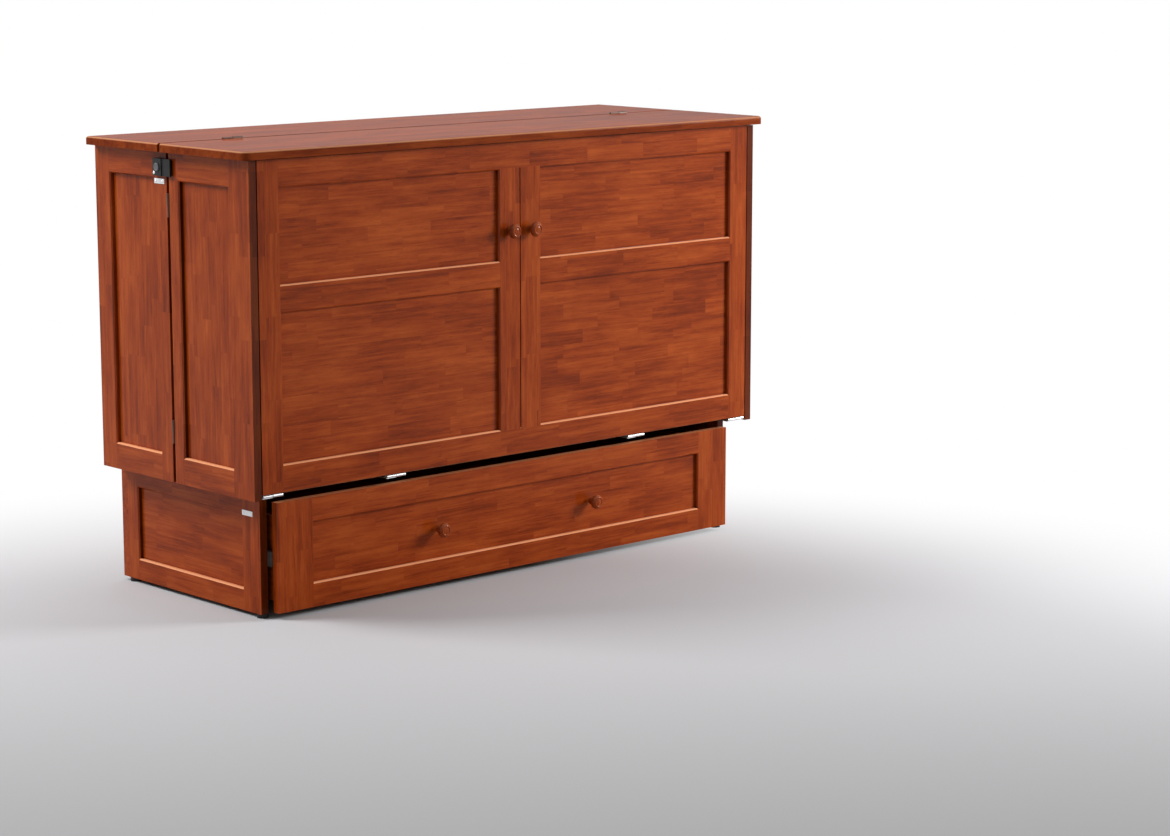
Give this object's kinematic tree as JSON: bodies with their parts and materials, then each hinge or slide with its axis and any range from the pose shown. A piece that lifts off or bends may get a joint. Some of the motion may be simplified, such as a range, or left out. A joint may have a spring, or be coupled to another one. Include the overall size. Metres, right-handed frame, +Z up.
{
  "type": "cabinet bed",
  "caption": "Wooden cabinet with framed panels that unfolds into a bed: drop front, flip-over top, side doors, folding legs, folded mattress and a wide base drawer.",
  "frame": {"origin": "on the floor, at the middle of the space that the closed cabinet takes", "axes": "+X to the right seen from the front, +Y to the back, +Z up"},
  "size_m": [1.658, 0.639, 1.0905],
  "materials": {
    "cherry_wood": "gloss lacquer",
    "plain_wood": "satin lacquer",
    "bright_steel": "polished",
    "dark_steel": "satin",
    "black_plastic": "matt",
    "mattress_cover": "knitted cloth"
  },
  "bodies": {
    "cabinet": {"side_stiles": "cherry_wood", "side_rails": "cherry_wood", "side_panels": "cherry_wood", "base_stiles": "cherry_wood", "base_rails": "cherry_wood", "base_panels": "cherry_wood", "base_back": "plain_wood", "feet": "black_plastic", "bearers": "plain_wood", "platform": "plain_wood", "back_panel": "plain_wood", "top_rear": "cherry_wood", "front_hinge_base_leaves": "bright_steel", "top_hinge_leaves": "dark_steel", "door_hinge_side_leaves": "dark_steel", "latch_cases": "black_plastic", "latch_plates": "bright_steel", "base_plates": "bright_steel", "fixed_runners": "dark_steel"},
    "drop_front": {"front_stiles": "cherry_wood", "front_rails": "cherry_wood", "front_panels": "cherry_wood", "front_knobs": "cherry_wood", "middle_deck": "plain_wood", "front_hinge_leaves": "bright_steel", "deck_hinge_leaves": "dark_steel"},
    "foot_board": {"foot_deck": "plain_wood", "deck_hinge_foot_leaves": "dark_steel", "leg_brackets": "dark_steel"},
    "foot_leg_pair": {"foot_legs": "dark_steel"},
    "middle_leg_pair": {"middle_legs": "dark_steel"},
    "flap": {"top_flap": "cherry_wood", "top_hinge_flap_leaves": "dark_steel"},
    "door_left": {"door_stiles_left": "cherry_wood", "door_rails_left": "cherry_wood", "door_panel_left": "cherry_wood", "door_hinge_leaves_left": "dark_steel"},
    "door_right": {"door_stiles_right": "cherry_wood", "door_rails_right": "cherry_wood", "door_panel_right": "cherry_wood", "door_hinge_leaves_right": "dark_steel"},
    "latch_left": {"latch_arm_left": "black_plastic"},
    "latch_right": {"latch_arm_right": "black_plastic"},
    "drawer": {"drawer_front_stiles": "cherry_wood", "drawer_front_rails": "cherry_wood", "drawer_front_panel": "cherry_wood", "drawer_knobs": "cherry_wood", "drawer_sides": "plain_wood", "drawer_ends": "plain_wood", "drawer_bottom_board": "plain_wood", "drawer_runners": "dark_steel"},
    "head_section": {"mattress_head": "mattress_cover"},
    "middle_section": {"mattress_middle": "mattress_cover"},
    "foot_section": {"mattress_foot": "mattress_cover"}
  },
  "joints": [
    {"name": "bed_drop", "type": "hinge", "parent": "cabinet", "child": "drop_front", "pos_m": [0, -0.2865, 0.297], "axis": [1, 0, 0], "range_deg": [0, 90]},
    {"name": "foot_deck_unfold", "type": "hinge", "parent": "drop_front", "child": "foot_board", "pos_m": [0, -0.2495, 1.05], "axis": [1, 0, 0], "range_deg": [0, 180]},
    {"name": "foot_legs_unfold", "type": "hinge", "parent": "foot_board", "child": "foot_leg_pair", "pos_m": [0, -0.213, 0.465], "axis": [1, 0, 0], "range_deg": [-90, 0]},
    {"name": "middle_legs_unfold", "type": "hinge", "parent": "foot_board", "child": "middle_leg_pair", "pos_m": [0, -0.213, 0.99], "axis": [1, 0, 0], "range_deg": [0, 90]},
    {"name": "top_flap_open", "type": "hinge", "parent": "cabinet", "child": "flap", "pos_m": [0, 0.0225, 1.0865], "axis": [-1, 0, 0], "range_deg": [0, 180]},
    {"name": "mattress_head_turn", "type": "hinge", "parent": "cabinet", "child": "head_section", "pos_m": [0, 0.215, 0.4085], "axis": [1, 0, 0], "range_deg": [0, 90], "deforming": ["mattress_head"]},
    {"name": "mattress_middle_unfold", "type": "hinge", "parent": "head_section", "child": "middle_section", "pos_m": [0, 0.14, 0.9935], "axis": [1, 0, 0], "range_deg": [-180, 0], "deforming": ["mattress_middle"]},
    {"name": "mattress_foot_unfold", "type": "hinge", "parent": "middle_section", "child": "foot_section", "pos_m": [0, -0.01, 0.3335], "axis": [1, 0, 0], "range_deg": [0, 180], "deforming": ["mattress_foot"]},
    {"name": "door_left_swing", "type": "hinge", "parent": "cabinet", "child": "door_left", "pos_m": [-0.805, 0.0225, 0.68], "axis": [0, 0, -1], "range_deg": [0, 90]},
    {"name": "door_right_swing", "type": "hinge", "parent": "cabinet", "child": "door_right", "pos_m": [0.805, 0.0225, 0.68], "axis": [0, 0, 1], "range_deg": [0, 90]},
    {"name": "latch_left_swing", "type": "hinge", "parent": "cabinet", "child": "latch_left", "pos_m": [-0.811, 0.0295, 1.028], "axis": [0, 0, -1], "range_deg": [0, 90]},
    {"name": "latch_right_swing", "type": "hinge", "parent": "cabinet", "child": "latch_right", "pos_m": [0.811, 0.0295, 1.028], "axis": [0, 0, 1], "range_deg": [0, 90]},
    {"name": "drawer_slide", "type": "slide", "parent": "cabinet", "child": "drawer", "axis": [0, -1, 0], "range_m": [0, 0.4]}
  ],
  "couplings": [
    {"joint": "foot_deck_unfold", "follows": "bed_drop", "ratio": 2},
    {"joint": "foot_legs_unfold", "follows": "bed_drop", "ratio": -1},
    {"joint": "middle_legs_unfold", "follows": "bed_drop", "ratio": 1},
    {"joint": "top_flap_open", "follows": "bed_drop", "ratio": 2},
    {"joint": "mattress_head_turn", "follows": "bed_drop", "ratio": 1},
    {"joint": "mattress_middle_unfold", "follows": "bed_drop", "ratio": -2},
    {"joint": "mattress_foot_unfold", "follows": "bed_drop", "ratio": 2},
    {"joint": "latch_left_swing", "follows": "door_left_swing", "ratio": 1},
    {"joint": "latch_right_swing", "follows": "door_right_swing", "ratio": 1}
  ]
}
